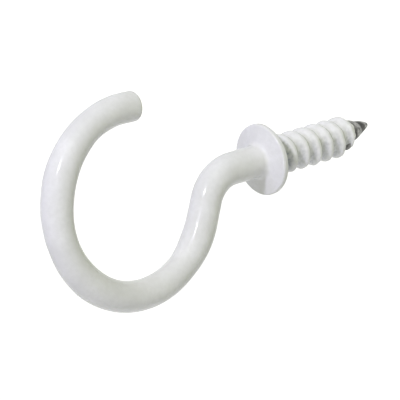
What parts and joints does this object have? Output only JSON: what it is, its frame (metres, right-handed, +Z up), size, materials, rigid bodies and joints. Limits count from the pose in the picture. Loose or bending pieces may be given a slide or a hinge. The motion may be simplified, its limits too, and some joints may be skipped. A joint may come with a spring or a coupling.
{
  "type": "screw hook",
  "caption": "White coated wire hook: an open round bowl on an S-bent neck, a round collar that seats on the wall and a coarse wood screw behind it.",
  "frame": {"origin": "centre of the collar's flat back face, on the screw's axis, where the hook seats on the wall", "axes": "+Y along the screw into the wall, +Z up, so that the bowl is held open side up; the bent wire lies in the YZ plane"},
  "size_m": [0.0084, 0.0492, 0.0248],
  "materials": {
    "coating": "gloss"
  },
  "bodies": {
    "root": {"screw_hook": "coating"}
  },
  "joints": []
}
